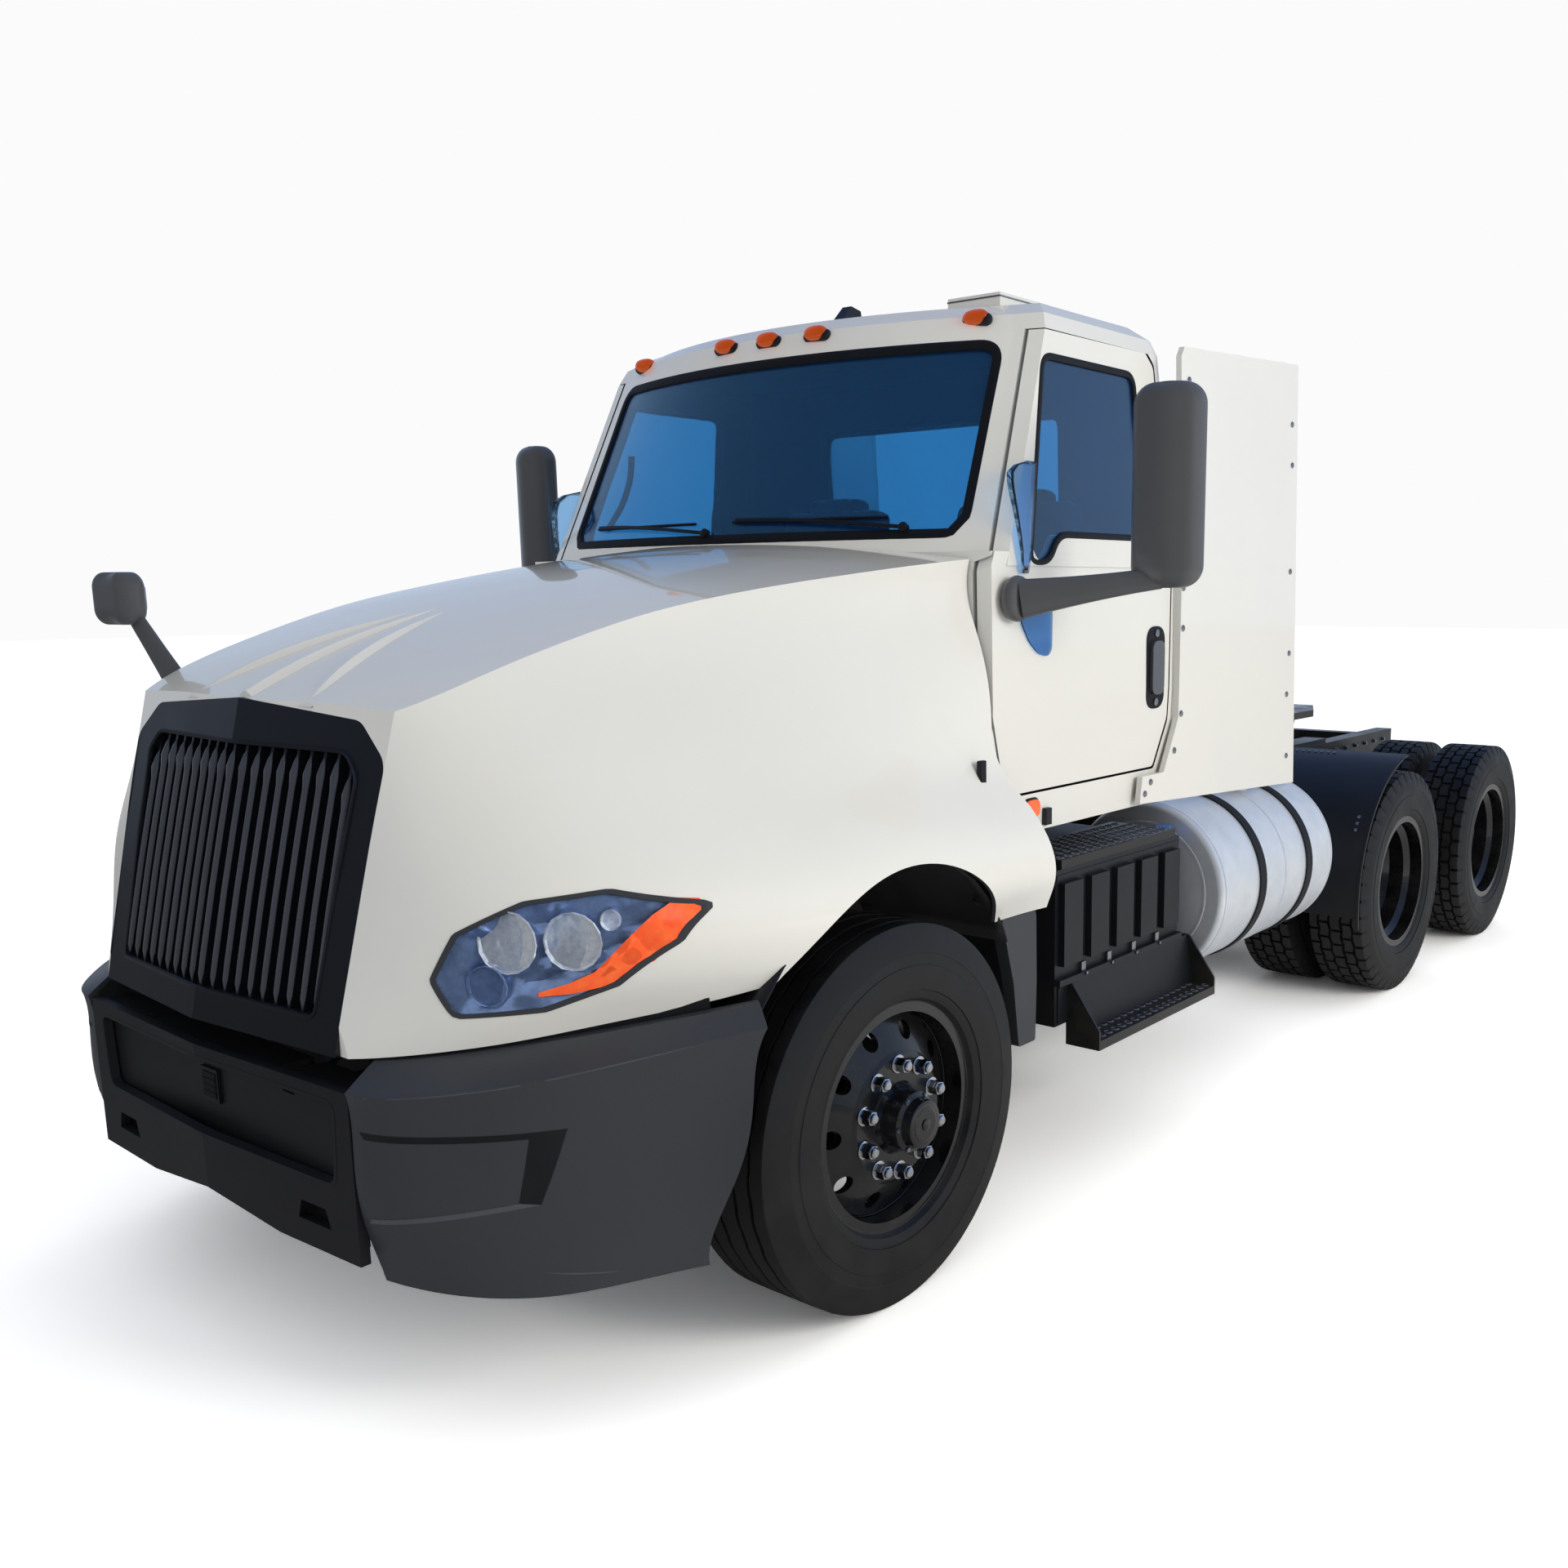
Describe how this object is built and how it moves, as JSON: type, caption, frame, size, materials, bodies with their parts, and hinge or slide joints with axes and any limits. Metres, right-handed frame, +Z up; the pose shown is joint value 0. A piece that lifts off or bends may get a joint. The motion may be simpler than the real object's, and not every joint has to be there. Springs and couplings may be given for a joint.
{
  "type": "semi truck tractor unit with day cab",
  "caption": "Road tractor with a day cab, tilting hood, opening doors, steered front wheels, twin drive wheels on a tandem and a tilting fifth wheel plate.",
  "frame": {"origin": "on the ground under the middle of the whole vehicle, on its centre plane", "axes": "+X to the vehicle's left, +Y to the rear, +Z up; the hood points along -Y"},
  "size_m": [3.0146, 6.72, 2.8],
  "materials": {
    "cab_paint": "gloss",
    "chassis_black": "satin",
    "cast_grey": "rough",
    "engine_grey": "rough",
    "core_metal": "matt fins",
    "spring_steel": "painted steel",
    "tank_metal": "brushed",
    "strap_black": "satin",
    "step_metal": "satin",
    "box_black": "ribbed, matt",
    "fender_black": "matt",
    "bumper_grey": "matt",
    "bumper_dark": "matt",
    "grille_black": "semi gloss",
    "lamp_clear": "clear lens over reflectors",
    "lamp_amber": "clear amber",
    "mirror_black": "fine grain",
    "tinted_glass": "clear",
    "trim_dark": "moulded",
    "seat_cloth": "woven",
    "wheel_black": "gloss",
    "tyre_rubber": "matt",
    "plate_steel": "greased"
  },
  "bodies": {
    "chassis": {"frame_rails": "chassis_black", "crossmembers": "chassis_black", "engine_block": "engine_grey", "radiator": "core_metal", "front_axle": "cast_grey", "front_springs": "spring_steel", "drive_axles": "cast_grey", "drive_shafts": "chassis_black", "rear_suspension": "chassis_black", "fuel_tank_left": "tank_metal", "fuel_tank_right": "tank_metal", "tank_straps": "strap_black", "battery_box": "box_black", "exhaust_box": "box_black", "cab_steps": "step_metal", "fluid_tank": "box_black", "quarter_fenders": "fender_black", "deck_plate": "chassis_black", "fifth_wheel_base": "chassis_black", "bumper_corners": "bumper_grey", "bumper_centre": "bumper_dark", "cab_shell": "cab_paint", "windscreen": "tinted_glass", "rear_window": "tinted_glass", "dashboard": "trim_dark", "seats": "seat_cloth", "cab_extenders": "cab_paint", "marker_lamps": "lamp_amber", "roof_fittings": "cab_paint", "cab_mounts": "chassis_black", "hood_hinges": "chassis_black"},
    "hood": {"hood_shell": "cab_paint", "grille": "grille_black", "headlamps": "lamp_clear", "fender_ends": "bumper_grey", "hood_mirror": "mirror_black"},
    "door_left": {"door_panel_left": "cab_paint", "door_glass_left": "tinted_glass", "door_mirror_left": "mirror_black"},
    "door_right": {"door_panel_right": "cab_paint", "door_glass_right": "tinted_glass", "door_mirror_right": "mirror_black"},
    "knuckle_left": {"knuckle_left": "cast_grey"},
    "knuckle_right": {"knuckle_right": "cast_grey"},
    "tie_rod": {"tie_rod": "cast_grey"},
    "steering_wheel": {"steering_wheel": "trim_dark"},
    "fifth_wheel": {"fifth_wheel_plate": "plate_steel"},
    "steer_wheel_left": {"steer_wheel_left": "wheel_black", "steer_tyre_left": "tyre_rubber"},
    "steer_wheel_right": {"steer_wheel_right": "wheel_black", "steer_tyre_right": "tyre_rubber"},
    "drive_wheels_front_left": {"drive_wheels_front_left": "wheel_black", "drive_tyres_front_left": "tyre_rubber"},
    "drive_wheels_front_right": {"drive_wheels_front_right": "wheel_black", "drive_tyres_front_right": "tyre_rubber"},
    "drive_wheels_rear_left": {"drive_wheels_rear_left": "wheel_black", "drive_tyres_rear_left": "tyre_rubber"},
    "drive_wheels_rear_right": {"drive_wheels_rear_right": "wheel_black", "drive_tyres_rear_right": "tyre_rubber"}
  },
  "joints": [
    {"name": "steer_left", "type": "hinge", "parent": "chassis", "child": "knuckle_left", "pos_m": [0.9, -2.17, 0.5055], "axis": [0, 0, 1], "range_deg": [-38, 38]},
    {"name": "steer_right", "type": "hinge", "parent": "chassis", "child": "knuckle_right", "pos_m": [-0.9, -2.17, 0.5055], "axis": [0, 0, 1], "range_deg": [-38, 38]},
    {"name": "tie_rod_end", "type": "hinge", "parent": "knuckle_left", "child": "tie_rod", "pos_m": [0.9, -1.98, 0.38], "axis": [0, 0, 1], "range_deg": [-38, 38]},
    {"name": "steering_wheel_turn", "type": "hinge", "parent": "chassis", "child": "steering_wheel", "pos_m": [0.43, -1.095, 1.79], "axis": [0, 0.788, 0.6157], "range_deg": [-608, 608]},
    {"name": "door_left_hinge", "type": "hinge", "parent": "chassis", "child": "door_left", "pos_m": [1.046, -1.56, 1.6], "axis": [0, 0, -1], "range_deg": [0, 65]},
    {"name": "door_right_hinge", "type": "hinge", "parent": "chassis", "child": "door_right", "pos_m": [-1.046, -1.56, 1.6], "axis": [0, 0, 1], "range_deg": [0, 65]},
    {"name": "hood_hinge", "type": "hinge", "parent": "chassis", "child": "hood", "pos_m": [0, -3.26, 0.7], "axis": [1, 0, 0], "range_deg": [0, 75]},
    {"name": "fifth_wheel_tilt", "type": "hinge", "parent": "chassis", "child": "fifth_wheel", "pos_m": [0, 1.95, 1.13], "axis": [1, 0, 0], "range_deg": [-12, 12]},
    {"name": "steer_wheel_left_spin", "type": "hinge", "parent": "knuckle_left", "child": "steer_wheel_left", "pos_m": [1.06, -2.17, 0.5055], "axis": [1, 0, 0], "continuous": true},
    {"name": "steer_wheel_right_spin", "type": "hinge", "parent": "knuckle_right", "child": "steer_wheel_right", "pos_m": [-1.06, -2.17, 0.5055], "axis": [1, 0, 0], "continuous": true},
    {"name": "drive_front_left_spin", "type": "hinge", "parent": "chassis", "child": "drive_wheels_front_left", "pos_m": [0.894, 1.495, 0.5055], "axis": [1, 0, 0], "continuous": true},
    {"name": "drive_front_right_spin", "type": "hinge", "parent": "chassis", "child": "drive_wheels_front_right", "pos_m": [-0.894, 1.495, 0.5055], "axis": [1, 0, 0], "continuous": true},
    {"name": "drive_rear_left_spin", "type": "hinge", "parent": "chassis", "child": "drive_wheels_rear_left", "pos_m": [0.894, 2.805, 0.5055], "axis": [1, 0, 0], "continuous": true},
    {"name": "drive_rear_right_spin", "type": "hinge", "parent": "chassis", "child": "drive_wheels_rear_right", "pos_m": [-0.894, 2.805, 0.5055], "axis": [1, 0, 0], "continuous": true}
  ],
  "couplings": [
    {"joint": "steer_right", "follows": "steer_left", "ratio": 1},
    {"joint": "tie_rod_end", "follows": "steer_left", "ratio": -1},
    {"joint": "steering_wheel_turn", "follows": "steer_left", "ratio": -16}
  ]
}
